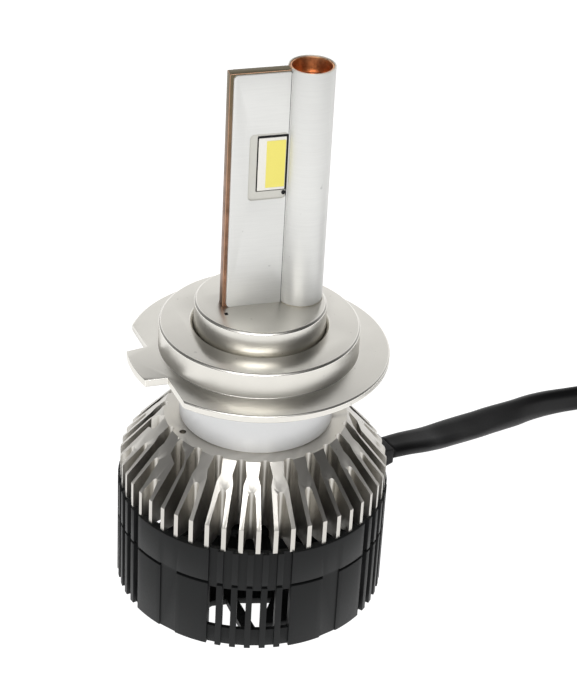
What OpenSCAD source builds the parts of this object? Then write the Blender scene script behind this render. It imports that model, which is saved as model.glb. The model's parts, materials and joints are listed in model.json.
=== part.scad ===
// LED headlight bulb: a lamp post on a turning collar, a finned heatsink with
// a fan in a shroud below it, and a flat lead that ends in a two-blade plug.
// Millimetres. Z is the lamp axis, the base stands on z = 0, and the flat of
// the post lies along X with its heat pipe on the +X side.

/* [Heights] */
// Top of the shroud, where the fins stand on it
shroud_top = 15.1; // [14:0.1:17]
// Top of the fins' upright edge
fin_edge_top = 18.65; // [18:0.05:20]
// Flat top of the heatsink, round the neck
sink_top = 25.24; // [24.5:0.02:26]
// Underside of the collar's flange, the lamp's reference plane
flange_z = 34.4; // [33.5:0.1:36]
// Top of the round hub that holds the post
hub_top = 42.05; // [41:0.05:44]
// Top of the flat post
post_top = 73.8; // [70:0.1:78]

/* [Shroud] */
// Outer radius of the shroud
shroud_r = 17.95; // [17.9:0.05:18.6]
// Inner radius of the shroud
shroud_bore_r = 16.8; // [16.6:0.1:17]
// Number of ribbed sections round the shroud
section_count = 5; // [3:1:5]
// Direction of the first ribbed section, in degrees
section_angle = -105.9; // [-180:0.1:180]
// Lower edge of the side windows
window_bottom = 2.6; // [2:0.1:4]
// Upper edge of the side windows
window_top = 9; // [7:0.1:9.4]

/* [Heatsink] */
// Radius of the upright fin edges
fin_r = 17.65; // [17.4:0.05:17.8]
// Number of forked fins
fin_count = 25; // [23:1:26]
// Direction of one fin's middle, in degrees
fin_angle = -106.7; // [-180:0.1:180]
// Radius of the flat top, where the slope of the fins ends
sink_top_r = 12; // [11.7:0.1:12.2]
// Width of the slots at the fins' upright edges
slot_w = 1.62; // [1.4:0.01:1.7]

/* [Collar] */
// Radius of the flange
flange_r = 16.9; // [15:0.1:17.5]
// Radius of the raised register
register_r = 12.9; // [12.8:0.05:13]
// Turn of the collar about the lamp axis, in degrees
collar_angle = 6.5; // [-180:0.5:180]
// Radius of the hub inside the collar
hub_r = 8.45; // [8.4:0.01:8.55]
// Radial clearance between hub and collar
collar_fit = 0.08; // [0.03:0.01:0.1]

/* [Post] */
// Thickness of the copper core plate
core_t = 1.4; // [1:0.1:1.6]
// Thickness of each aluminium cover
cover_t = 0.35; // [0.3:0.05:0.5]
// Distance of the heat pipe's middle from the lamp axis
pipe_x = 5.1; // [5:0.05:5.15]
// Outer radius of the sleeve round the heat pipe
sleeve_r = 2.9; // [2.85:0.05:2.95]
// Height of the middle of the light source
led_z = 61.65; // [59:0.05:64]

/* [Fan] */
// Number of fan blades
blade_count = 7; // [5:1:9]
// Radius of the blade tips
blade_r = 15.6; // [14:0.1:15.8]
// Slope of the blades, in degrees
blade_slope = 38; // [30:1:45]

/* [Lead] */
// Width of the flat lead
lead_w = 4; // [3.6:0.1:4.2]
// Thickness of the flat lead
lead_t = 2; // [1.8:0.1:2.2]
// Direction in which the lead leaves the shroud, in degrees
lead_angle = 14; // [12:0.5:16]
// Height at which the lead leaves the shroud
lead_z = 12.8; // [12.6:0.1:13]

/* [Hidden] */
$fn = 64;
EPS = 0.01;
BIG = 100;

copper = [0.72, 0.42, 0.28];
bare_alu = [0.85, 0.85, 0.83];
nickel = [0.66, 0.64, 0.60];
black = [0.16, 0.17, 0.17];

// Shroud
groove_low = 9.7;
groove_high = 10.15;
groove_d = 0.5;
window_step = 6.2;
channel_w = 1.15;
channel_d = 0.55;
window_offsets = [for (i = [-2.5:1:2.5]) i * window_step];
strip_w = 2.6;
strip_d = 0.2;
strip_top = groove_high + 0.12;

// Heatsink
pocket_r = 9.8;
pocket_top = 20.5;
board_low = 15.3;
board_top = 16.1;
plug_r = 7.9;
slot_step = 180 / fin_count;
slot_end = [11.55, 0.62];
slot_wide = [13.2, 0.93];
slot_narrow = [13.95, 0.68];
fork_end = [14.5, 0.52];
short_fork_end = [15.9, 0.5];
bend_spots = [-9, 15];
screw_ring_r = 10.9;
screw_angles = [-60, 60, 180];
screw_r = 0.7;

// Neck, hub and collar
neck_r = 10;
neck_top = flange_z - 0.6;
skirt_low = flange_z - 0.5;
flange_t = 1.03;
register_top = flange_z + 4.5;
spreader_top = 29.9;
spreader_low = 17;
oring_z = 36.9;
oring_r = 0.42;
wire_hole_r = 0.55;
wire_r = 0.42;
wire_spots = [[-3.6, -2.6], [-3.6, 2.6]];

// Post, in its own plane: x across, z up, y = 0 on the middle plane
core_left = -5.25;
cover_left = -4.8;
cover_right = 2.55;
core_foot = 38.2;
core_ring_r = 2.7;
pipe_r = 2.45;
pipe_tip = post_top - 1.2;
window_left = -2.6;
window_right = 2.3;
window_h = 8.95;
board_t = 0.16;
chip_mid = 0.32;
chip_w = 3.5;
chip_h = 7.1;
chip_t = 0.3;
glow_left = -0.42;
glow_right = 1.98;
glow_h = 6.3;
glow_t = 0.06;

// Fan
cup_r = 6.2;
cup_low = 8.8;
cup_top = 12.5;
cup_wall = 0.35;
blade_t = 0.55;
blade_mid = 10.8;
blade_h = 3.1;
shaft_r = 0.75;
bush_bore_r = 0.79;
bush_r = 1.6;
frame_low = 13.3;
frame_top = 14;
frame_ring_r = 15.9;
board_ring_z = 12.85;

// Lead: round points of the stretch from the gland to the coil
coil_x = 80;
coil_y = 2;
coil_r = 22;
coil_z = 2.5;
lead_exit_r = 21.2;
lead_points = [
    [20.6, 5.1, 12.8], [23.5, 5.9, 12.6], [26.4, 7.1, 11.9], [29, 8.7, 11], [32, 10.6, 10.1],
    [35, 12.7, 9], [38, 14.8, 7.9], [41, 17, 6.8], [44, 19.1, 5.7], [47, 21.1, 4.7],
    [50, 23, 3.9], [53.5, 24.7, 3.1], [57, 25.7, 2.6], [60.5, 26, 2.5], [64, 25.9, 2.5],
    [68, 25.7, 2.5], [72, 25.5, 2.5], [76, 25.3, 2.5], [80, 25.2, 2.5]
];
tail_points = [
    [80, -18.9, 2.5], [75.5, -18.2, 2.5], [71.5, -16, 2.6], [68.6, -12.6, 2.8], [67.6, -8.4, 3],
    [68.4, -4.4, 3.1], [70.6, -1, 3.2]
];
plug_turn = 57;
plug_at = [70.6, -1, 0];
plug_mid_z = 3.2;

// ---- shared shapes ----

// A tube or, with r_in = 0, a disc between two heights
module ring(r_out, r_in, low, high) {
    translate([0, 0, low]) difference() {
        cylinder(r = r_out, h = high - low);
        if (r_in > 0) translate([0, 0, -1]) cylinder(r = r_in, h = high - low + 2);
    }
}

// A plate in the post's plane, from y = near to y = near + t, with round corners
module post_plate(left, right, low, high, near, t, corner) {
    translate([0, near + t, 0]) rotate([90, 0, 0]) linear_extrude(t)
        rounded(left, right, low, high, corner);
}

module rounded(left, right, low, high, corner) {
    translate([left + corner, low]) square([right - left - 2 * corner, high - low]);
    translate([left, low + corner]) square([right - left, high - low - 2 * corner]);
    for (x = [left + corner, right - corner], y = [low + corner, high - corner])
        translate([x, y]) circle(r = corner, $fn = 32);
}

// Repeats a child round the lamp axis
module around(count, first = 0) {
    for (i = [0:count - 1]) rotate([0, 0, first + i * 360 / count]) children();
}

// Front or rear copy of what is drawn on the front of the post
module on_side(rear) {
    if (rear) mirror([0, 1, 0]) children();
    else children();
}

// ---- lamp post ----

module core_plate() {
    color(copper) difference() {
        union() {
            translate([core_left, -core_t / 2, core_foot])
                cube([pipe_x - core_left, core_t, post_top - core_foot]);
            translate([pipe_x, 0, 0]) ring(core_ring_r, 0, core_foot, post_top + 0.1);
        }
        translate([pipe_x, 0, 0]) ring(pipe_r, 0, core_foot - 1, post_top + 1);
    }
}

module post_cover(rear) {
    near = -core_t / 2 - cover_t;
    on_side(rear) difference() {
        post_plate(cover_left, cover_right, hub_top, post_top - 0.15, near, cover_t, 0.5);
        post_plate(window_left, window_right, led_z - window_h / 2 - 0.3,
            led_z + window_h / 2 - 0.3, near - 1, cover_t + 2, 0.6);
        translate([pipe_x, 0, 0]) ring(sleeve_r, 0, hub_top - 1, post_top + 1);
    }
}

module cover_front() {
    color(bare_alu) post_cover(false);
}

module cover_rear() {
    color(bare_alu) post_cover(true);
}

module pipe_sleeve() {
    color(bare_alu) difference() {
        translate([pipe_x, 0, 0]) ring(sleeve_r, core_ring_r, hub_top, post_top + 0.2);
        translate([core_left, -core_t / 2, core_foot])
            cube([pipe_x - core_left, core_t, BIG]);
    }
}

// Sealed pipe with a pinched, domed end
module heat_pipe() {
    neck_len = 1.2;
    color(copper) translate([pipe_x, 0, 0]) rotate_extrude() polygon([
        [0, spreader_low + 0.5], [pipe_r, spreader_low + 0.5], [pipe_r, pipe_tip - neck_len],
        [2.1, pipe_tip - 0.7], [1.4, pipe_tip - 0.4], [0.8, pipe_tip - 0.33],
        [0.6, pipe_tip], [0, pipe_tip + 0.05]
    ]);
}

module led_board(rear) {
    near = -core_t / 2 - board_t;
    gap = 0.15;
    middle = led_z - 0.3;
    on_side(rear) difference() {
        post_plate(window_left, window_right, middle - window_h / 2, middle + window_h / 2,
            near, board_t, 0.6);
        post_plate(chip_mid - chip_w / 2 - gap, chip_mid + chip_w / 2 + gap,
            led_z - chip_h / 2 - gap, led_z + chip_h / 2 + gap, near - 1, board_t + 2, 0.1);
    }
}

module led_board_front() {
    color("whitesmoke") led_board(false);
}

module led_board_rear() {
    color("whitesmoke") led_board(true);
}

module led_chip(rear) {
    on_side(rear) post_plate(chip_mid - chip_w / 2, chip_mid + chip_w / 2,
        led_z - chip_h / 2, led_z + chip_h / 2, -core_t / 2 - chip_t, chip_t, 0.08);
}

module led_chip_front() {
    color("ivory") led_chip(false);
}

module led_chip_rear() {
    color("ivory") led_chip(true);
}

module phosphor(rear) {
    on_side(rear) post_plate(glow_left, glow_right, led_z - glow_h / 2, led_z + glow_h / 2,
        -core_t / 2 - chip_t - glow_t, glow_t, 0.05);
}

module phosphor_front() {
    color([0.95, 0.88, 0.35]) phosphor(false);
}

module phosphor_rear() {
    color([0.95, 0.88, 0.35]) phosphor(true);
}

// ---- hub, collar and neck ----

module wire_holes() {
    for (spot = wire_spots) translate([spot[0], spot[1], 0])
        cylinder(r = wire_hole_r, h = hub_top - 1.5, $fn = 24);
}

module hub() {
    chamfer = 0.25;
    color(nickel) difference() {
        rotate_extrude($fn = 96) polygon([
            [0, spreader_top], [plug_r, spreader_top], [plug_r, neck_top], [hub_r, neck_top],
            [hub_r, hub_top - chamfer], [hub_r - chamfer, hub_top], [0, hub_top]
        ]);
        translate([core_left, -core_t / 2, core_foot])
            cube([pipe_x - core_left, core_t, BIG]);
        translate([pipe_x, 0, 0]) ring(core_ring_r, 0, core_foot, BIG);
        translate([pipe_x, 0, 0]) ring(pipe_r, 0, spreader_low, BIG);
        rotate_extrude() translate([hub_r, oring_z]) circle(r = oring_r, $fn = 32);
        wire_holes();
    }
}

// Rubber ring in the hub's groove, squeezed flat to the hub's own radius
module o_ring() {
    color(black) rotate_extrude() intersection() {
        translate([hub_r, oring_z]) circle(r = oring_r, $fn = 32);
        translate([0, oring_z - 1]) square([hub_r, 2]);
    }
}

module collar() {
    edge = 0.22;
    bore_edge = 0.38;
    bore_r = hub_r + collar_fit;
    flange_top = flange_z + flange_t;
    flat_at = 13.8;
    tab_r = 17.05;
    color(nickel) rotate([0, 0, collar_angle]) difference() {
        union() {
            ring(neck_r, 0, skirt_low, flange_z + EPS);
            intersection() {
                rotate_extrude($fn = 96) polygon([
                    [0, flange_z], [flange_r - 0.15, flange_z], [flange_r, flange_z + 0.15],
                    [flange_r, flange_top - 0.15], [flange_r - 0.15, flange_top], [0, flange_top]
                ]);
                translate([-flat_at, -BIG, 0]) cube([2 * BIG, 2 * BIG, BIG]);
            }
            intersection() {
                ring(tab_r, 0, flange_z, flange_top);
                translate([0, 0, flange_z]) linear_extrude(flange_t) polygon([
                    [-flat_at + 1, -4.0], [-tab_r - 1, -3.5], [-tab_r - 1, 3.5], [-flat_at + 1, 4.0]
                ]);
            }
            rotate_extrude($fn = 96) polygon([
                [0, flange_top - EPS], [register_r, flange_top - EPS],
                [register_r, register_top - edge], [register_r - edge, register_top],
                [0, register_top]
            ]);
        }
        ring(bore_r, 0, skirt_low - 1, BIG);
        rotate_extrude() polygon([
            [bore_r - 0.1, register_top - bore_edge], [bore_r, register_top - bore_edge],
            [bore_r + bore_edge, register_top + EPS], [bore_r + bore_edge, register_top + 1],
            [bore_r - 0.1, register_top + 1]
        ]);
    }
}

module neck() {
    color(bare_alu) difference() {
        ring(neck_r, plug_r, sink_top, neck_top);
        translate([0, 0, neck_top - 0.2]) rotate_extrude() translate([neck_r, 0])
            polygon([[-0.2, 0.21], [0.1, -0.1], [0.1, 0.21]]);
    }
}

// ---- heatsink ----

module heat_spreader() {
    color(copper) difference() {
        ring(plug_r, 0, pocket_top - 0.3, spreader_top);
        translate([pipe_x, 0, 0]) ring(pipe_r, 0, 0, BIG);
        wire_holes();
    }
}

// Outline of a slot: half widths at stations [radius, half width], round inner end
module slot_outline(stations) {
    end = stations[0];
    all = concat([[end[0] + end[1], end[1]]], [for (i = [1:1:len(stations) - 1]) stations[i]],
        [[fin_r - 0.5, slot_w / 2], [fin_r + 2, slot_w / 2]]);
    last = len(all) - 1;
    translate([end[0] + end[1], 0]) circle(r = end[1], $fn = 24);
    polygon(concat(all, [for (i = [last:-1:0]) [all[i][0], -all[i][1]]]));
}

function polar(r, a) = [r * cos(a), r * sin(a)];

// Point on one side of the channel that lies one step away
function channel_side(r, side) = polar(r, slot_step + side * asin(slot_w / 2 / r));

// Slot whose pocket lies one step beside its channel
module bent_slot() {
    polygon([
        polar(12, -1.2), polar(12.4, -2.2), polar(13.5, -1.6), polar(14, slot_step - 2.8),
        channel_side(fin_r - 0.5, -1), channel_side(fin_r + 2, -1),
        channel_side(fin_r + 2, 1), channel_side(fin_r - 0.5, 1),
        polar(13.6, slot_step + 2.7), polar(12.8, slot_step + 0.4), polar(12.3, 2.3), polar(12, 1)
    ]);
}

module slots() {
    bent = [for (spot = bend_spots, side = [-1, 1]) [spot + 2 * side, side]];
    pockets = [for (b = bent) b[0]];
    channels = [for (b = bent) b[0] + b[1]];
    for (k = [-fin_count:fin_count - 1]) rotate(k * slot_step) {
        if (k % 2 != 0 && len(search(k, pockets)) == 0)
            slot_outline([slot_end, slot_wide, slot_narrow]);
        if (k % 2 == 0 && len(search(k, channels)) == 0) slot_outline([fork_end]);
    }
    for (b = bent) rotate(b[0] * slot_step) {
        slot_outline([short_fork_end]);
        if (b[1] > 0) bent_slot();
        else mirror([0, 1]) bent_slot();
    }
}

module heatsink() {
    color([0.62, 0.61, 0.58]) difference() {
        rotate_extrude($fn = 96) polygon([
            [pocket_r, shroud_top], [fin_r, shroud_top], [fin_r, fin_edge_top],
            [sink_top_r, sink_top], [plug_r, sink_top], [plug_r, pocket_top],
            [pocket_r, pocket_top]
        ]);
        translate([0, 0, shroud_top - 1]) rotate(fin_angle) linear_extrude(BIG) slots();
        for (a = screw_angles) rotate([0, 0, a]) translate([screw_ring_r, 0, 0])
            ring(screw_r, 0, shroud_top - 1, shroud_top + 4);
        for (a = [15.5, 195.5]) rotate([0, 0, a]) translate([screw_ring_r, 0, 0])
            ring(0.45, 0, sink_top - 1, sink_top + 1);
    }
}

// ---- driver ----

module led_leads() {
    color("firebrick") for (spot = wire_spots) translate([spot[0], spot[1], 0])
        ring(wire_r, 0, board_top, hub_top - 2, $fn = 24);
}

module driver_board() {
    color("darkgreen") ring(pocket_r - 0.2, 0, board_low, board_top);
}

module driver_inductor() {
    color([0.25, 0.25, 0.27]) translate([0.9, -5.4, 0]) {
        ring(2.6, 0, board_top, 16.8);
        ring(1.7, 0, 16.8 - EPS, 19.2);
        ring(2.6, 0, 19.2 - EPS, 19.9);
    }
}

module driver_capacitors() {
    color("slategray") for (spot = [[-1.6, 5.6], [2.4, 5.9]])
        translate([spot[0], spot[1], 0]) ring(1.55, 0, board_top, 19.8);
}

module driver_chip() {
    color("black") translate([5.6, -2.2, board_top]) cube([2.8, 3.6, 0.9]);
}

// ---- fan ----

module fan_frame() {
    boss_r = 1.25;
    arm_w = 1.8;
    color(black) difference() {
        union() {
            ring(screw_ring_r + 0.5, bush_r, frame_low, frame_top);
            ring(shroud_bore_r, frame_ring_r, frame_low, frame_top);
            around(3, 40) translate([8.6, 0, 0]) ring(0.8, 0, frame_low, board_low);
            for (a = screw_angles) rotate([0, 0, a]) {
                translate([screw_ring_r, 0, 0]) ring(boss_r, 0, frame_low, shroud_top);
                translate([screw_ring_r, -arm_w / 2, frame_low])
                    cube([frame_ring_r + 0.5 - screw_ring_r, arm_w, frame_top - frame_low]);
            }
        }
        for (a = screw_angles) rotate([0, 0, a]) translate([screw_ring_r, 0, 0])
            ring(screw_r, 0, 0, BIG);
        rotate([0, 0, lead_angle]) translate([frame_ring_r - 1, -2.6, 0]) cube([3, 5.2, BIG]);
        translate([-8, 0, 0]) ring(0.9, 0, 0, BIG);
    }
}

module frame_screws() {
    color("silver") for (a = screw_angles) rotate([0, 0, a]) translate([screw_ring_r, 0, 0]) {
        ring(screw_r - 0.02, 0, frame_low - EPS, shroud_top + 3.5);
        difference() {
            ring(1.2, 0, frame_low - 0.6, frame_low);
            translate([-0.9, -0.15, frame_low - 0.7]) cube([1.8, 0.3, 0.3]);
        }
    }
}

module stator_core() {
    color("dimgray") difference() {
        union() {
            ring(2.5, 0, 10.2, 11.8);
            around(4) {
                translate([2, -0.7, 10.2]) cube([2.2, 1.4, 1.6]);
                intersection() {
                    ring(4.7, 4.0, 10.2, 11.8);
                    translate([3, -2.4, 10]) cube([2, 4.8, 2]);
                }
            }
        }
        ring(bush_r, 0, 10, 12);
    }
}

module stator_coils() {
    color(copper) around(4) difference() {
        translate([2.6, -1.3, 9.8]) cube([1.1, 2.6, 2.4]);
        translate([2.5, -0.7, 10.2]) cube([1.5, 1.4, 1.6]);
    }
}

module motor_board() {
    color("darkgreen") difference() {
        union() {
            ring(5.4, 0, board_ring_z, frame_low);
            translate([-8.9, -1.2, board_ring_z]) cube([5, 2.4, frame_low - board_ring_z]);
        }
        ring(bush_r, 0, 0, BIG);
    }
}

module bearing_sleeve() {
    color("goldenrod") ring(bush_r, bush_bore_r, 9.9, frame_top);
}

module fan_leads() {
    color("gold") for (y = [-0.42, 0.42]) translate([-8, y, 0]) ring(0.4, 0, frame_low, board_low, $fn = 24);
}

module fan_rotor() {
    color(black) difference() {
        union() {
            ring(cup_r, cup_r - cup_wall, cup_low, cup_top);
            ring(cup_r, 0, cup_low, cup_low + 0.6);
            ring(1.6, 0, cup_low, cup_low + 0.8);
            intersection() {
                around(blade_count) translate([cup_r - 0.2, 0, blade_mid]) rotate([blade_slope, 0, 0])
                    translate([0, -2.6, -blade_t / 2]) cube([blade_r, 5.2, blade_t]);
                ring(blade_r, cup_r - 0.2, blade_mid - blade_h / 2, blade_mid + blade_h / 2);
            }
        }
        ring(shaft_r, 0, 0, BIG);
    }
}

module rotor_magnet() {
    color([0.3, 0.28, 0.27]) ring(cup_r - cup_wall, 5.0, cup_low + 0.6, cup_top - 0.2);
}

module rotor_shaft() {
    color("silver") ring(shaft_r, 0, cup_low, 14.5);
}

module shaft_clip() {
    color("silver") ring(1.4, shaft_r, 14.2, 14.5);
}

// ---- shroud ----

// Flat strips down the middle of the plain panels, from the base to just over the groove
module panel_strips() {
    around(section_count, section_angle + 180 / section_count)
        translate([shroud_r - strip_d, -strip_w / 2, -1]) cube([2, strip_w, strip_top + 1]);
}

module shroud_groove() {
    difference() {
        ring(shroud_r + 1, shroud_r - groove_d, groove_low, groove_high, $fn = 128);
        around(section_count, section_angle + 180 / section_count)
            translate([shroud_r - 1, -strip_w / 2 + 0.05, 0]) cube([3, strip_w - 0.1, BIG]);
    }
}

module shroud() {
    color(black) difference() {
        ring(shroud_r, shroud_bore_r, 0, shroud_top, $fn = 128);
        shroud_groove();
        panel_strips();
        around(section_count, section_angle) for (a = window_offsets) rotate([0, 0, a]) {
            translate([shroud_r - channel_d, -channel_w / 2, -1]) cube([2, channel_w, BIG]);
            translate([shroud_bore_r - 1, -channel_w / 2, window_bottom])
                cube([4, channel_w, window_top - window_bottom]);
        }
        rotate([0, 0, lead_angle]) translate([shroud_bore_r - 1, -lead_w / 2 - 0.2, lead_z - 1.2])
            cube([4, lead_w + 0.4, 2.4]);
    }
}

// Guard in the shroud's mouth: a plate with five openings, each with a leaning strut
module fan_guard() {
    low = 0.3;
    high = 1.2;
    plate_r = 14.4;
    ring_r = 15.9;
    color(black) union() {
        ring(shroud_bore_r, ring_r, low, high + 0.3, $fn = 96);
        difference() {
            ring(plate_r, 1.2, low, high);
            translate([0, 0, low - 1]) linear_extrude(3) around(section_count, section_angle)
                guard_opening(plate_r + 1);
        }
        intersection() {
            ring(ring_r + 0.3, 8.2, low, high, $fn = 96);
            translate([0, 0, low]) linear_extrude(high - low) around(section_count, section_angle)
                polygon([polar(17, 6), polar(8, -15), polar(8, -28), polar(17, -0.4)]);
        }
    }
}

module guard_opening(far) {
    polygon([
        polar(far, -28.5), polar(12.4, -27.6), polar(11, -25.5), polar(10.4, -21), polar(9.3, -10),
        polar(9.1, 4), polar(9.4, 19.7), polar(11.5, 12.4), polar(14.3, 9.2), polar(far, 9)
    ]);
}

// ---- lead ----

module cable_gland() {
    color(black) rotate([0, 0, lead_angle]) translate([0, 0, lead_z]) {
        translate([shroud_bore_r - 0.3, -lead_w / 2 - 0.2, -1.2]) cube([1.5, lead_w + 0.4, 2.4]);
        hull() {
            translate([shroud_r - 0.02, -2.5, -1.5]) cube([0.6, 5, 3]);
            translate([lead_exit_r - 0.5, -2.15, -1.15]) cube([0.5, 4.3, 2.3]);
        }
    }
}

module supply_leads() {
    high = 14.55;
    wall_x = 15.8;
    color("crimson") rotate([0, 0, lead_angle]) for (y = [-0.8, 0.8]) translate([0, y, 0]) {
        translate([wall_x, 0, lead_z]) rotate([0, 90, 0]) cylinder(r = 0.4, h = 0.7, $fn = 24);
        translate([wall_x, 0, 0]) ring(0.4, 0, lead_z, high + 0.4, $fn = 24);
        translate([8.4, 0, high]) rotate([0, 90, 0]) cylinder(r = 0.4, h = wall_x - 8.4, $fn = 24);
        translate([8.4, 0, 0]) ring(0.4, 0, high - 0.4, board_low, $fn = 24);
    }
}

function unit(v) = v / norm(v);
function heading(p, i) = unit(p[min(i + 1, len(p) - 1)] - p[max(i - 1, 0)]);

// One oval ring across the route: width along w, thickness along t
function oval(at, w, t) = [
    for (k = [0:7]) let (a = 22.5 + k * 45)
        at + w * (lead_w / 2 - 0.1) * cos(a) / cos(22.5) + t * (lead_t / 2 - 0.1) * sin(a) / cos(22.5)
];

// Sweeps the flat lead along points, turning it from roll_start to roll_end
module flat_lead(points, roll_start, roll_end, roll_over) {
    last = len(points) - 1;
    rings = [
        for (i = [0:last])
            let (
                h = heading(points, i),
                side = unit(cross(h, [0, 0, 1])),
                lift = cross(side, h),
                roll = roll_start + (roll_end - roll_start) * min(1, i / roll_over)
            )
            oval(points[i], side * cos(roll) + lift * sin(roll), lift * cos(roll) - side * sin(roll))
    ];
    sides = [
        for (i = [0:last - 1], k = [0:7])
            let (a = i * 8 + k, b = i * 8 + (k + 1) % 8)
            each [[a, b, b + 8], [a, b + 8, a + 8]]
    ];
    polyhedron(
        [for (r = rings, v = r) v],
        concat([[for (k = [7:-1:0]) k]], sides, [[for (k = [0:7]) last * 8 + k]])
    );
}

module cord_run() {
    color(black) flat_lead(lead_points, 0, 90, 12);
}

// Outer shape of the coiled lead, wound like tape
module cord_coil() {
    color(black) translate([coil_x, coil_y, 0])
        ring(coil_r + 2.3, coil_r - 2.1, coil_z - lead_w / 2, coil_z + lead_w / 2, $fn = 96);
}

module cord_tail() {
    color(black) flat_lead(tail_points, 90, 0, 6);
}

module coil_tie() {
    tie_w = 3;
    tie_t = 0.4;
    color("dimgray") translate([coil_x + coil_r + 0.1, coil_y, 0]) difference() {
        translate([-2.7, -tie_w / 2, 0]) cube([5.4, tie_w, 5]);
        translate([-2.7 + tie_t, -tie_w, tie_t]) cube([5.4 - 2 * tie_t, 2 * tie_w, 5 - 2 * tie_t]);
    }
}

module at_plug() {
    translate(plug_at) rotate([0, 0, plug_turn]) children();
}

module plug_boot() {
    color(black) at_plug() hull() {
        translate([0, -2.3, plug_mid_z - 1.4]) cube([0.5, 4.6, 2.8]);
        translate([4.5, -3.4, plug_mid_z - 2.4]) cube([0.5, 6.8, 4.8]);
    }
}

module plug_body() {
    color(black) at_plug() translate([5, 0, 0]) {
        translate([0, -4.5, 0]) cube([10, 9, 6.4]);
        translate([8.6, -5.2, 0.2]) cube([1.4, 10.4, 6]);
    }
}

module plug_blades() {
    color("silver") at_plug() for (y = [-2.9, 2.1])
        translate([15, y, 0.9]) cube([7.6, 0.8, 4.6]);
}

core_plate();
cover_front();
cover_rear();
pipe_sleeve();
heat_pipe();
led_board_front();
led_board_rear();
led_chip_front();
led_chip_rear();
phosphor_front();
phosphor_rear();
hub();
o_ring();
collar();
neck();
heat_spreader();
heatsink();
led_leads();
driver_board();
driver_inductor();
driver_capacitors();
driver_chip();
fan_frame();
frame_screws();
stator_core();
stator_coils();
motor_board();
bearing_sleeve();
fan_leads();
fan_rotor();
rotor_magnet();
rotor_shaft();
shaft_clip();
shroud();
fan_guard();
cable_gland();
supply_leads();
cord_run();
cord_coil();
cord_tail();
coil_tie();
plug_boot();
plug_body();
plug_blades();
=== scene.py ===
import json
import math

import bmesh
import bpy
from mathutils import Matrix, Vector


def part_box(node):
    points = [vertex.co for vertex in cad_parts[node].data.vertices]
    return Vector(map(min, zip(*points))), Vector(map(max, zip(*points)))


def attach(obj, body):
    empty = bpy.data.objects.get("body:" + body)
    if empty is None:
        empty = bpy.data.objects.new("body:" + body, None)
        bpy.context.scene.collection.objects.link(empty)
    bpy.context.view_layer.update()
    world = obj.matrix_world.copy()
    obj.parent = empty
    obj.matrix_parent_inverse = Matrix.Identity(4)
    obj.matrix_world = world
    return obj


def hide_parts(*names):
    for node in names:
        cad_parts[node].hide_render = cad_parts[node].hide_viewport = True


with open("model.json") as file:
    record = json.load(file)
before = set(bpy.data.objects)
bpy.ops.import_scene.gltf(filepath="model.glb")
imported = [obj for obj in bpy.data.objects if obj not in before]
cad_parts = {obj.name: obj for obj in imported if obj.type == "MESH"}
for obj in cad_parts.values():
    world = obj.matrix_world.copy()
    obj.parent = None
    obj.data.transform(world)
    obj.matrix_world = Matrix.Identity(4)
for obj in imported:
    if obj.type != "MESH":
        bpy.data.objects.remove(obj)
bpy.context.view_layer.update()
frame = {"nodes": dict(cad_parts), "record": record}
bpy.ops.object.select_all(action="DESELECT")
scene = bpy.context.scene
scene.view_settings.view_transform = "Standard"
mm = 0.001
nodeBody = {n: b for b, nodes in frame["record"]["behaviour"]["bodies"].items() for n in nodes}
slotOf = {s["node"]: s["material_slot"] for s in frame["record"]["subparts"]}
print("frame loaded:", len(frame["nodes"]), "nodes")

# the camera stands in front, a little to the left, and looks down at the lamp
cameraSet = {
    "place": (-0.06603, -0.21914, 0.17616),
    "aim": (0.00369, -0.00114, 0.0348),
    "roll": 3.16,
    "lens": 107.75,
    "sensor": 36,
    "nearClip": 0.01,
}


def makeCamera(s):
    data = bpy.data.cameras.new("camera")
    data.lens = s["lens"]
    data.sensor_width = s["sensor"]
    data.clip_start = s["nearClip"]
    camera = bpy.data.objects.new("camera", data)
    scene.collection.objects.link(camera)
    look = Vector(s["aim"]) - Vector(s["place"])
    turn = look.to_track_quat("-Z", "Y").to_matrix().to_4x4()
    camera.matrix_world = (
        Matrix.Translation(s["place"]) @ turn @ Matrix.Rotation(math.radians(s["roll"]), 4, "Z")
    )
    scene.camera = camera


makeCamera(cameraSet)
print("camera placed")


def gray(v):
    return (v, v, v, 1)


def fillRamp(band, stops):
    band.elements[0].position, band.elements[0].color = stops[0]
    band.elements[1].position, band.elements[1].color = stops[-1]
    for at, color in stops[1:-1]:
        band.elements.new(at).color = color


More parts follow.
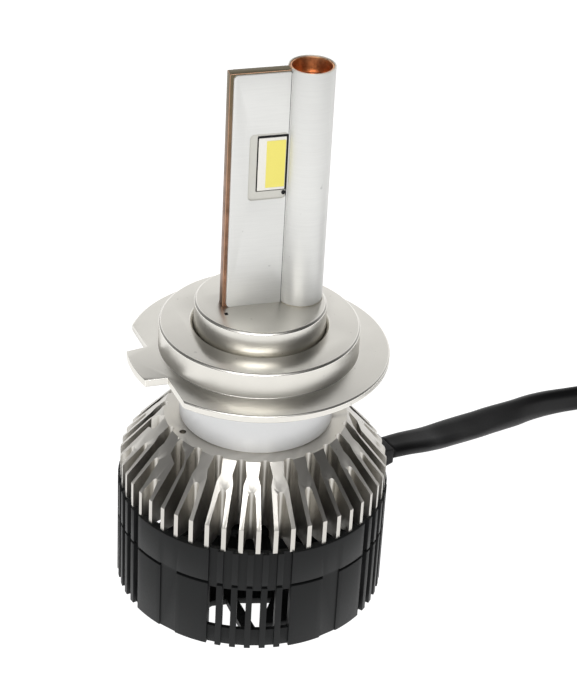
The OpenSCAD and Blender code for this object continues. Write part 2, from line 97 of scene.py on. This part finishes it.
class Recipe:
    # wires one Principled material, all its patterns on Object coordinates
    def __init__(self, name, color, rough, metal=0.0):
        self.mat = bpy.data.materials.new(name)
        self.mat.use_nodes = True
        self.nodes = self.mat.node_tree.nodes
        self.links = self.mat.node_tree.links
        self.shader = self.nodes["Principled BSDF"]
        self.shader.inputs["Base Color"].default_value = (*color, 1)
        self.shader.inputs["Roughness"].default_value = rough
        self.shader.inputs["Metallic"].default_value = metal
        self.place = self.nodes.new("ShaderNodeTexCoord").outputs["Object"]
        self.bumpOut = None

    def mapping(self, scale):
        node = self.nodes.new("ShaderNodeMapping")
        node.inputs["Scale"].default_value = scale
        self.links.new(self.place, node.inputs["Vector"])
        return node.outputs["Vector"]

    def noise(self, scale, detail, rough, where=None):
        node = self.nodes.new("ShaderNodeTexNoise")
        node.inputs["Scale"].default_value = scale
        node.inputs["Detail"].default_value = detail
        node.inputs["Roughness"].default_value = rough
        self.links.new(where or self.place, node.inputs["Vector"])
        return node.outputs["Fac"]

    def ramp(self, source, stops):
        node = self.nodes.new("ShaderNodeValToRGB")
        fillRamp(node.color_ramp, stops)
        self.links.new(source, node.inputs["Fac"])
        return node.outputs["Color"]

    def spread(self, source, low, high):
        node = self.nodes.new("ShaderNodeMapRange")
        node.inputs["To Min"].default_value = low
        node.inputs["To Max"].default_value = high
        self.links.new(source, node.inputs["Value"])
        return node.outputs["Result"]

    def mix(self, a, b, fac, blend="MIX"):
        node = self.nodes.new("ShaderNodeMix")
        node.data_type = "RGBA"
        node.blend_type = blend
        for value, key in ((fac, 0), (a, 6), (b, 7)):
            if hasattr(value, "links"):
                self.links.new(value, node.inputs[key])
            elif isinstance(value, (int, float)):
                node.inputs[key].default_value = value
            else:
                node.inputs[key].default_value = (*value, 1) if len(value) == 3 else value
        return node.outputs[2]

    def latheMarks(self, amount):
        # turned surfaces stretch their highlights across the tool marks
        around = self.nodes.new("ShaderNodeVectorMath")
        around.operation = "CROSS_PRODUCT"
        around.inputs[0].default_value = (0, 0, 1)
        self.links.new(self.place, around.inputs[1])
        turn = self.nodes.new("ShaderNodeVectorTransform")
        turn.vector_type = "VECTOR"
        turn.convert_from, turn.convert_to = "OBJECT", "WORLD"
        self.links.new(around.outputs["Vector"], turn.inputs["Vector"])
        self.links.new(turn.outputs["Vector"], self.shader.inputs["Tangent"])
        self.shader.inputs["Anisotropic"].default_value = amount

    def shade(self, a, b):
        return self.mix(a, b, 1.0, "MULTIPLY")

    def specks(self, scale, stops, shade):
        dark, clear = stops
        return self.ramp(self.noise(scale, 1, 0.5), [(dark, gray(shade)), (clear, gray(1))])

    def color(self, source):
        self.links.new(source, self.shader.inputs["Base Color"])

    def rough(self, source):
        self.links.new(source, self.shader.inputs["Roughness"])

    def bump(self, source, height, strength):
        node = self.nodes.new("ShaderNodeBump")
        node.inputs["Distance"].default_value = height
        node.inputs["Strength"].default_value = strength
        self.links.new(source, node.inputs["Height"])
        if self.bumpOut:
            self.links.new(self.bumpOut, node.inputs["Normal"])
        self.bumpOut = node.outputs["Normal"]
        self.links.new(self.bumpOut, self.shader.inputs["Normal"])

    def set(self, **values):
        for key, value in values.items():
            self.shader.inputs[key.replace("_", " ")].default_value = value


metalSet = {"mottleScale": 230, "speckScale": 1500, "speckStops": (0.2, 0.25), "speckShade": 0.75}


def turnedMetal(name, color, rough, grain, height, mottle=0.06, lathe=0.0):
    # satin metal: fine blasted grain, soft mottling, a few dark specks
    s = metalSet
    r = Recipe(name, color, rough, 1.0)
    fine = r.noise(grain, 4, 0.7)
    soft = r.noise(s["mottleScale"], 3, 0.5)
    dots = r.specks(s["speckScale"], s["speckStops"], s["speckShade"])
    tint = r.shade((*color, 1), r.spread(soft, 1 - mottle, 1 + mottle))
    r.color(r.shade(tint, dots))
    r.rough(r.spread(fine, rough - 0.06, rough + 0.08))
    r.bump(fine, height, 0.6)
    if lathe:
        r.latheMarks(lathe)
    return r.mat


coverSet = {
    "color": (0.74, 0.74, 0.72),
    "brush": (240, 240, 6200),
    "mottleScale": 150,
    "speckScale": 900,
    "speckStops": (0.2, 0.24),
    "speckShade": 0.8,
}


def brushedCover():
    # rolled aluminium with faint level brush marks and stray dots
    s = coverSet
    r = Recipe("coverAluminium", s["color"], 0.40, 0.5)
    marks = r.noise(1.0, 4, 0.65, r.mapping(s["brush"]))
    soft = r.noise(s["mottleScale"], 3, 0.5)
    dots = r.specks(s["speckScale"], s["speckStops"], s["speckShade"])
    tint = r.shade((*s["color"], 1), r.spread(marks, 0.93, 1.06))
    tint = r.shade(tint, r.spread(soft, 0.95, 1.05))
    r.color(r.shade(tint, dots))
    r.rough(r.spread(marks, 0.36, 0.5))
    r.bump(marks, 0.000008, 0.5)
    return r.mat


copperSet = {
    "bright": (0.36, 0.20, 0.13, 1),
    "brown": (0.17, 0.095, 0.06, 1),
    "olive": (0.17, 0.14, 0.085, 1),
    "brownAt": 0.35,
    "brightAt": 0.66,
    "oliveFrom": 0.055,
    "oliveTo": 0.074,
}


def agedCopper():
    # brown patches on redder copper, turning olive toward the top of the post
    s = copperSet
    r = Recipe("agedCopper", s["bright"][:3], 0.42, 1.0)
    height = r.nodes.new("ShaderNodeSeparateXYZ")
    r.links.new(r.place, height.inputs[0])
    climb = r.nodes.new("ShaderNodeMapRange")
    climb.inputs["From Min"].default_value = s["oliveFrom"]
    climb.inputs["From Max"].default_value = s["oliveTo"]
    r.links.new(height.outputs["Z"], climb.inputs["Value"])
    patches = r.noise(420, 5, 0.65)
    fine = r.noise(5200, 3, 0.6)
    low = r.ramp(patches, [(s["brownAt"], s["brown"]), (s["brightAt"], s["bright"])])
    tint = r.mix(low, s["olive"], climb.outputs["Result"])
    r.color(r.shade(tint, r.spread(fine, 0.8, 1.1)))
    r.rough(r.spread(patches, 0.5, 0.34))
    r.bump(fine, 0.00001, 0.5)
    return r.mat


pipeStops = [
    (0.3, (0.42, 0.19, 0.10, 1)),
    (0.6, (0.78, 0.42, 0.22, 1)),
    (0.75, (0.9, 0.62, 0.3, 1)),
]


def pipeCopper():
    # clean copper of the heat pipe, with darker and golden patches
    r = Recipe("pipeCopper", (0.72, 0.36, 0.2), 0.3, 1.0)
    patches = r.noise(900, 4, 0.6)
    r.color(r.ramp(patches, pipeStops))
    r.rough(r.spread(patches, 0.24, 0.42))
    r.bump(patches, 0.00003, 0.5)
    return r.mat


def mouldedPlastic(name, color, rough, grain, gloss):
    # black plastic and rubber: a fine moulded grain under slow shade changes
    r = Recipe(name, color, rough)
    fine = r.noise(grain, 3, 0.6)
    soft = r.noise(150, 3, 0.5)
    r.color(r.shade((*color, 1), r.spread(soft, 0.82, 1.2)))
    r.rough(r.spread(fine, rough - 0.06, rough + 0.1))
    r.bump(fine, 0.000012, 0.5)
    r.set(Specular_IOR_Level=gloss)
    return r.mat


def plain(name, color, rough, metal=0.0, grain=3000, amount=0.12):
    # one colour with a fine grain in its shade and gloss
    r = Recipe(name, color, rough, metal)
    fine = r.noise(grain, 3, 0.6)
    r.color(r.shade((*color, 1), r.spread(fine, 1 - amount, 1 + amount)))
    r.rough(r.spread(fine, max(0.05, rough - 0.05), rough + 0.08))
    r.bump(fine, 0.000008, 0.4)
    return r.mat


mats = {
    "copper": agedCopper(),
    "cover_aluminium": brushedCover(),
    "nickel": turnedMetal("blastedNickel", (0.72, 0.70, 0.65), 0.29, 6500, 0.000008, 0.06, 0.45),
    "neck_aluminium": plain("turnedAluminium", (0.82, 0.825, 0.83), 0.4, 0.3, 5200, 0.04),
    "sink_aluminium": turnedMetal("sinkAluminium", (0.60, 0.58, 0.54), 0.33, 5200, 0.000012, 0.05),
    "black_plastic": mouldedPlastic("blackPlastic", (0.0115, 0.0122, 0.0125), 0.42, 4200, 0.18),
    "rubber_black": mouldedPlastic("blackRubber", (0.010, 0.010, 0.011), 0.55, 4200, 0.2),
    "cable_black": mouldedPlastic("cableSheath", (0.006, 0.006, 0.0065), 0.4, 2600, 0.2),
    "led_ceramic": plain("ledCeramic", (0.84, 0.82, 0.76), 0.5, 0.0, 3000, 0.05),
    "led_board_white": plain("ledBoard", (0.62, 0.61, 0.56), 0.4, 0.2, 3000, 0.05),
    "phosphor_yellow": plain("phosphor", (0.88, 0.78, 0.17), 0.55, 0.0, 9000, 0.04),
    "circuit_board": plain("circuitBoard", (0.02, 0.12, 0.05), 0.35),
    "component_dark": plain("componentDark", (0.05, 0.05, 0.055), 0.45),
    "steel_bright": plain("brightSteel", (0.62, 0.62, 0.62), 0.3, 1.0),
    "bronze": plain("sinteredBronze", (0.55, 0.38, 0.16), 0.45, 1.0),
    "magnet_grey": plain("magnetGrey", (0.12, 0.115, 0.11), 0.5),
    "wire_red": plain("wireRed", (0.5, 0.03, 0.02), 0.4),
    "brass_blades": plain("tinnedBrass", (0.62, 0.55, 0.38), 0.28, 1.0),
}
# lighter, glossier copies of the metals and of the cover, laid on the bevel faces as painted edge
# highlights
edgeHighlights = {
    "nickel": turnedMetal("nickelEdgeHighlight", (0.86, 0.84, 0.79), 0.24, 6500, 0.000004, 0.03),
    "cover": plain("creamEdgeHighlight", (0.90, 0.84, 0.70), 0.4, 0.6, 3000, 0.06),
    "sink": turnedMetal("sinkEdgeHighlight", (0.85, 0.84, 0.8), 0.26, 5200, 0.000004, 0.03),
    "neck": turnedMetal("neckEdgeHighlight", (0.9, 0.9, 0.9), 0.25, 5200, 0.000004, 0.03),
    "copper": plain("copperEdgeHighlight", (0.5, 0.3, 0.2), 0.3, 1.0),
}
pipe = pipeCopper()
for name, obj in frame["nodes"].items():
    for slot in obj.material_slots:
        slot.material = pipe if name == "heat_pipe" else mats[slotOf[name]]
print("materials assigned")

# a pale floor that glows a little, so that it stays white right up to the lamp
floorSet = {"size": 3, "drop": 0.0001, "shade": 0.35, "rough": 0.9, "glow": 1.0}


def makeStage(s):
    bpy.ops.mesh.primitive_plane_add(size=s["size"], location=(0, 0, -s["drop"]))
    floor = bpy.context.object
    floor.name = "floor"
    r = Recipe("paleFloor", gray(s["shade"])[:3], s["rough"])
    r.set(Emission_Color=gray(1), Emission_Strength=s["glow"], Specular_IOR_Level=0.0)
    floor.data.materials.append(r.mat)
    floor.select_set(False)


# the studio round the lamp: pale ground, grey walls and a darker ceiling, with one bright panel
# behind it and a dark one at each side
studioSet = {
    "bands": [(0.0, 1.0), (0.05, 0.42), (0.56, 0.42), (0.78, 0.16)],
    "patches": [
        {"azimuth": 73, "elevation": 26, "inner": 0.92, "outer": 0.72, "level": 2.5},
        {"azimuth": -28, "elevation": 30, "inner": 0.92, "outer": 0.76, "level": 0.1},
        {"azimuth": 168, "elevation": 34, "inner": 0.94, "outer": 0.78, "level": 0.35},
    ],
}


def direction(azimuth, elevation):
    a, e = math.radians(azimuth), math.radians(elevation)
    return Vector((math.cos(a) * math.cos(e), math.sin(a) * math.cos(e), math.sin(e)))


def makeWorld(s):
    world = bpy.data.worlds.new("studio")
    scene.world = world
    world.use_nodes = True
    nodes, links = world.node_tree.nodes, world.node_tree.links
    place = nodes.new("ShaderNodeTexCoord").outputs["Generated"]
    split = nodes.new("ShaderNodeSeparateXYZ")
    links.new(place, split.inputs[0])
    band = nodes.new("ShaderNodeValToRGB")
    links.new(split.outputs["Z"], band.inputs["Fac"])
    fillRamp(band.color_ramp, [(at, gray(shade)) for at, shade in s["bands"]])
    color = band.outputs["Color"]
    for patch in s["patches"]:
        toward = nodes.new("ShaderNodeVectorMath")
        toward.operation = "DOT_PRODUCT"
        toward.inputs[1].default_value = direction(patch["azimuth"], patch["elevation"])
        links.new(place, toward.inputs[0])
        shade = nodes.new("ShaderNodeMapRange")
        shade.interpolation_type = "SMOOTHSTEP"
        shade.inputs["From Min"].default_value = patch["outer"]
        shade.inputs["From Max"].default_value = patch["inner"]
        shade.inputs["To Min"].default_value = 1.0
        shade.inputs["To Max"].default_value = patch["level"]
        links.new(toward.outputs["Value"], shade.inputs["Value"])
        dim = nodes.new("ShaderNodeVectorMath")
        dim.operation = "SCALE"
        links.new(color, dim.inputs[0])
        links.new(shade.outputs["Result"], dim.inputs["Scale"])
        color = dim.outputs["Vector"]
    links.new(color, nodes["Background"].inputs["Color"])


boxSet = {
    "middle": (0, 0, 0.035),
    "azimuth": -113,
    "elevation": 49,
    "distance": 0.6,
    "size": (0.46, 0.24),
    "power": 1.7,
}


def softBox(name, s):
    # a rectangular lamp, placed by its direction from the collar
    middle = Vector(s["middle"])
    data = bpy.data.lights.new(name, "AREA")
    data.shape = "RECTANGLE"
    data.size, data.size_y = s["size"]
    data.energy = s["power"]
    lamp = bpy.data.objects.new(name, data)
    scene.collection.objects.link(lamp)
    lamp.location = middle + s["distance"] * direction(s["azimuth"], s["elevation"])
    lamp.rotation_euler = (middle - lamp.location).to_track_quat("-Z", "Y").to_euler()


makeStage(floorSet)
makeWorld(studioSet)
softBox("frontBox", boxSet)
print("stage ready")

# the flat twin lead: its run, its round coil and its tail, in millimetres and degrees;
# the lead turns over onto its flat side along the run, and back along the tail
leadSet = {
    "width": 4.0,
    "thick": 2.0,
    "sides": 24,
    "squareness": 0.75,
    "waistDepth": 0.14,
    "waistWidth": 0.55,
    "run": [
        (20.6, 5.1, 12.8), (23.5, 5.9, 12.6), (26.4, 7.1, 11.9), (29, 8.7, 11), (32, 10.6, 10.1),
        (35, 12.7, 9), (38, 14.8, 7.9), (41, 17, 6.8), (44, 19.1, 5.7), (47, 21.1, 4.7),
        (50, 23, 3.9), (53.5, 24.7, 3.1), (57, 25.7, 2.6), (60.5, 26, 2.5), (64, 25.9, 2.5),
        (68, 25.7, 2.5), (72, 25.5, 2.5), (76, 25.3, 2.5), (80, 25.2, 2.5),
    ],
    "tail": [
        (80, -18.9, 2.5), (75.5, -18.2, 2.5), (71.5, -16, 2.6), (68.6, -12.6, 2.8),
        (67.6, -8.4, 3), (68.4, -4.4, 3.1), (70.6, -1, 3.2),
    ],
    "coilMiddle": (80, 2, 2.5),
    "coilStart": 23.2,
    "coilEnd": 20.9,
    "turns": 1.5,
    "stepsPerTurn": 36,
    "startTurn": 90,
    "flatRoll": -90,
    "rollOver": 12,
    "tailRoll": 6,
}


def leadPath(s):
    # centre line in millimetres, with the lead's roll at each point
    flat = s["flatRoll"]
    points = [(Vector(p), flat * min(1, i / s["rollOver"])) for i, p in enumerate(s["run"])]
    middle = Vector(s["coilMiddle"])
    steps = int(s["turns"] * s["stepsPerTurn"])
    for i in range(1, steps):
        turn = math.radians(s["startTurn"] - 360 * s["turns"] * i / steps)
        radius = s["coilStart"] + (s["coilEnd"] - s["coilStart"]) * i / steps
        spot = middle + radius * Vector((math.cos(turn), math.sin(turn), 0))
        points.append((spot, flat))
    for i, p in enumerate(s["tail"]):
        points.append((Vector(p), flat - flat * min(1, i / s["tailRoll"])))
    return points


def smoothPath(points, pieces=4):
    # Catmull-Rom through the points
    out = []
    last = len(points) - 1
    for i in range(last):
        a, b, c, d = (points[min(max(k, 0), last)] for k in (i - 1, i, i + 1, i + 2))
        for j in range(pieces):
            t = j / pieces
            spot = 0.5 * (
                2 * b[0] + (c[0] - a[0]) * t
                + (2 * a[0] - 5 * b[0] + 4 * c[0] - d[0]) * t * t
                + (3 * b[0] - a[0] - 3 * c[0] + d[0]) * t ** 3
            )
            out.append((spot, b[1] + (c[1] - b[1]) * t))
    out.append(points[-1])
    return out


def leadSection(s):
    # rounded flat outline with a shallow waist between its two wires
    section = []
    for k in range(s["sides"]):
        a = 2 * math.pi * k / s["sides"]
        u, v = (math.copysign(abs(w) ** s["squareness"], w) for w in (math.cos(a), math.sin(a)))
        flat = u * s["width"] / 2
        waist = 1 - s["waistDepth"] * math.exp(-((flat / s["waistWidth"]) ** 2))
        section.append((flat, v * s["thick"] / 2 * waist))
    return section


def makeLead(s):
    path = smoothPath(leadPath(s))
    section = leadSection(s)
    count = len(section)
    verts, faces = [], []
    for i, (spot, roll) in enumerate(path):
        ahead = (path[min(i + 1, len(path) - 1)][0] - path[max(i - 1, 0)][0]).normalized()
        side = ahead.cross(Vector((0, 0, 1))).normalized()
        lift = side.cross(ahead)
        c, n = math.cos(math.radians(roll)), math.sin(math.radians(roll))
        wide, thin = side * c + lift * n, lift * c - side * n
        verts += [(spot + wide * u + thin * v) * mm for u, v in section]
    for i in range(len(path) - 1):
        for k in range(count):
            a, b = i * count + k, i * count + (k + 1) % count
            faces.append((a, b, b + count, a + count))
    faces.append(tuple(range(count))[::-1])
    faces.append(tuple(range((len(path) - 1) * count, len(path) * count)))
    mesh = bpy.data.meshes.new("lead")
    mesh.from_pydata(verts, [], faces)
    lead = bpy.data.objects.new("lead", mesh)
    scene.collection.objects.link(lead)
    fixNormals(lead)
    for poly in mesh.polygons:
        poly.use_smooth = len(poly.vertices) == 4
    mesh.materials.append(mats["cable_black"])
    centre = [p * mm for p, roll in path]
    length = sum((b - a).length for a, b in zip(centre, centre[1:]))
    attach(lead, "bulb")
    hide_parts("cord_run", "cord_coil", "cord_tail")
    return lead, centre, length


def fixNormals(obj):
    bm = bmesh.new()
    bm.from_mesh(obj.data)
    bmesh.ops.remove_doubles(bm, verts=bm.verts, dist=1e-7)
    bmesh.ops.recalc_face_normals(bm, faces=bm.faces)
    bm.to_mesh(obj.data)
    bm.free()


lead, leadLine, leadLength = makeLead(leadSet)
print("lead made, length", round(leadLength, 4))

# how a copy of a frame piece is cleaned and its edges are broken, in metres and degrees
edgeSet = {
    "merge": 2e-7,
    "flatAngle": 0.6,
    "bevelAngle": 38,
    "smoothAngle": 36,
    "chamferSmooth": 19,
}

# pieces whose edges are broken as on the real one: bevel width in mm, segments, and the painted
# edge highlight, a lighter material laid on the bevel faces
bevelAndHighlightSet = {
    "hub": (0.07, 2, "nickel"),
    "collar": (0.07, 2, "nickel"),
    "neck": (0.12, 2, "neck"),
    "heatsink": (0.035, 1, "sink"),
    "cover_front": (0.09, 2, "cover"),
    "cover_rear": (0.09, 2, "cover"),
    "core_plate": (0.06, 2, "copper"),
    "pipe_sleeve": (0.05, 2, "cover"),
    "shroud": (0.1, 2, None),
    "fan_guard": (0.12, 2, None),
    "fan_rotor": (0.1, 1, None),
    "cable_gland": (0.35, 3, None),
    "plug_body": (0.7, 4, None),
    "plug_boot": (0.5, 3, None),
    "plug_blades": (0.22, 2, None),
    "coil_tie": (0.12, 2, None),
    "led_chip_front": (0.06, 2, None),
    "led_chip_rear": (0.06, 2, None),
}


def finishedCopy(node, width, segments, edgeHighlight):
    mesh = frame["nodes"][node].data.copy()
    piece = bpy.data.objects.new(node + "Finished", mesh)
    scene.collection.objects.link(piece)
    mesh.materials.clear()
    mesh.materials.append(mats[slotOf[node]])
    # slot 1 holds the painted edge highlight, a lighter copy of the material, which the bevel
    # faces take
    mesh.materials.append(edgeHighlights[edgeHighlight] if edgeHighlight else mats[slotOf[node]])
    for poly in mesh.polygons:
        poly.material_index = 0
    bpy.context.view_layer.objects.active = piece
    piece.select_set(True)
    bpy.ops.object.mode_set(mode="EDIT")
    bpy.ops.mesh.select_all(action="SELECT")
    bpy.ops.mesh.remove_doubles(threshold=edgeSet["merge"])
    bpy.ops.mesh.dissolve_limited(angle_limit=math.radians(edgeSet["flatAngle"]))
    bpy.ops.object.mode_set(mode="OBJECT")
    bevel = piece.modifiers.new("brokenEdges", "BEVEL")
    bevel.width = width * mm
    bevel.segments = segments
    bevel.limit_method = "ANGLE"
    bevel.angle_limit = math.radians(edgeSet["bevelAngle"])
    bevel.use_clamp_overlap = True
    bevel.material = 1
    bpy.ops.object.modifier_apply(modifier="brokenEdges")
    smooth = edgeSet["smoothAngle" if segments > 1 else "chamferSmooth"]
    bpy.ops.object.shade_smooth_by_angle(angle=math.radians(smooth))
    piece.select_set(False)
    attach(piece, nodeBody[node])
    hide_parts(node)
    return piece


finished = {}
for node, (width, segments, edgeHighlight) in bevelAndHighlightSet.items():
    finished[node] = finishedCopy(node, width, segments, edgeHighlight)
    print("finished", node, len(finished[node].data.polygons))


def lineBore(piece, margin):
    # the bore that holds the heat pipe is clean, bright copper
    low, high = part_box("heat_pipe")
    middle = Vector(((low[0] + high[0]) / 2, (low[1] + high[1]) / 2))
    reach = (high[0] - low[0]) / 2 + margin * mm
    piece.data.materials.append(pipe)
    for poly in piece.data.polygons:
        if (Vector(poly.center[:2]) - middle).length < reach:
            poly.material_index = 2


lineBore(finished["core_plate"], margin=0.06)

# painted shadow round each light chip: a dark frame standing for the shaded gap round the recessed
# chip, wide above it and beside the pipe, thin elsewhere; the dot is the radius of a dark dot at
# the chip's lower right corner, all in millimetres
chipShadowSet = {
    "left": 0.1,
    "right": 0.23,
    "above": 0.28,
    "below": 0.04,
    "lift": 0.06,
    "bevel": 0.025,
    "dot": 0.26,
    "dotShape": (1, 0.5, 1.15),
    "dotInset": (0.1, 0.2, 0.5),
}


def cornerBox(name, low, high):
    bpy.ops.mesh.primitive_cube_add(size=1)
    box = bpy.context.object
    box.name = name
    bpy.ops.object.mode_set(mode="EDIT")
    bpy.ops.transform.resize(value=[h - l for l, h in zip(low, high)])
    bpy.ops.transform.translate(value=[(h + l) / 2 for l, h in zip(low, high)])
    bpy.ops.object.mode_set(mode="OBJECT")
    return box


def useModifier(piece, kind, **facts):
    bpy.context.view_layer.objects.active = piece
    modifier = piece.modifiers.new(kind.lower(), kind)
    for key, value in facts.items():
        setattr(modifier, key, value)
    bpy.ops.object.modifier_apply(modifier=modifier.name)


def declare(piece, slot):
    # an added piece that stands on the lamp's fixed body
    piece.data.materials.clear()
    piece.data.materials.append(mats[slot])
    fixNormals(piece)
    bpy.context.view_layer.objects.active = piece
    piece.select_set(True)
    bpy.ops.object.shade_smooth_by_angle(angle=math.radians(edgeSet["smoothAngle"]))
    bpy.ops.object.select_all(action="DESELECT")
    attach(piece, "bulb")


def chipShadowFrame(side):
    s = chipShadowSet
    low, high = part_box("led_chip_" + side)
    front = side == "front"
    lift = s["lift"] * mm
    near, far = (low[1] + lift, high[1]) if front else (low[1], high[1] - lift)
    # a black frame round the chip, painted shadow of the gap between the chip and the board
    outer = cornerBox(
        "chipShadowFrame" + side.capitalize(),
        (low[0] - s["left"] * mm, near, low[2] - s["below"] * mm),
        (high[0] + s["right"] * mm, far, high[2] + s["above"] * mm),
    )
    inner = cornerBox("chipHole", (low[0], near - mm, low[2]), (high[0], far + mm, high[2]))
    bpy.ops.object.select_all(action="DESELECT")
    useModifier(outer, "BOOLEAN", operation="DIFFERENCE", object=inner, solver="EXACT")
    bpy.data.objects.remove(inner)
    useModifier(outer, "BEVEL", width=s["bevel"] * mm, segments=2)
    declare(outer, "rubber_black")
    dx, dy, dz = (v * mm for v in s["dotInset"])
    y = high[1] - dy if front else low[1] + dy
    bpy.ops.mesh.primitive_uv_sphere_add(segments=24, ring_count=12, radius=s["dot"] * mm)
    drop = bpy.context.object
    drop.name = "darkCornerDot" + side.capitalize()
    bpy.ops.object.mode_set(mode="EDIT")
    bpy.ops.transform.resize(value=s["dotShape"])
    bpy.ops.transform.translate(value=(high[0] - dx, y, low[2] - dz))
    bpy.ops.object.mode_set(mode="OBJECT")
    declare(drop, "rubber_black")


# the seam between each cover and the sleeve, and a painted shadow, a small black box, where the
# slot that the core stands in ends
seamSet = {"width": 0.07, "proud": 0.012, "inset": 0.16, "bevel": 0.01}
slotSet = {"left": 0.2, "front": 0.22, "right": 0.3, "back": 0.45, "lift": 0.02, "bevel": 0.08}


def seamLine(side):
    s = seamSet
    low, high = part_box("cover_" + side)
    front = side == "front"
    right = high[0] - s["inset"] * mm
    proud = s["proud"] * mm
    near, far = (low[1] - proud, high[1]) if front else (low[1], high[1] + proud)
    line = cornerBox(
        "seam" + side.capitalize(),
        (right, near, low[2]),
        (right + s["width"] * mm, far, high[2]),
    )
    useModifier(line, "BEVEL", width=s["bevel"] * mm, segments=1)
    declare(line, "component_dark")


def slotShade():
    s = slotSet
    x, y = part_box("core_plate")[0][:2]
    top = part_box("hub")[1][2]
    # a thin black box at the core's foot: painted shadow at the end of the slot
    shade = cornerBox(
        "slotEndShadow",
        (x - s["left"] * mm, y - s["front"] * mm, top - mm),
        (x + s["right"] * mm, y + s["back"] * mm, top + s["lift"] * mm),
    )
    useModifier(shade, "BEVEL", width=s["bevel"] * mm, segments=2)
    declare(shade, "rubber_black")


for side in ("front", "rear"):
    chipShadowFrame(side)
    seamLine(side)
slotShade()
print("chip shadows and seams made")
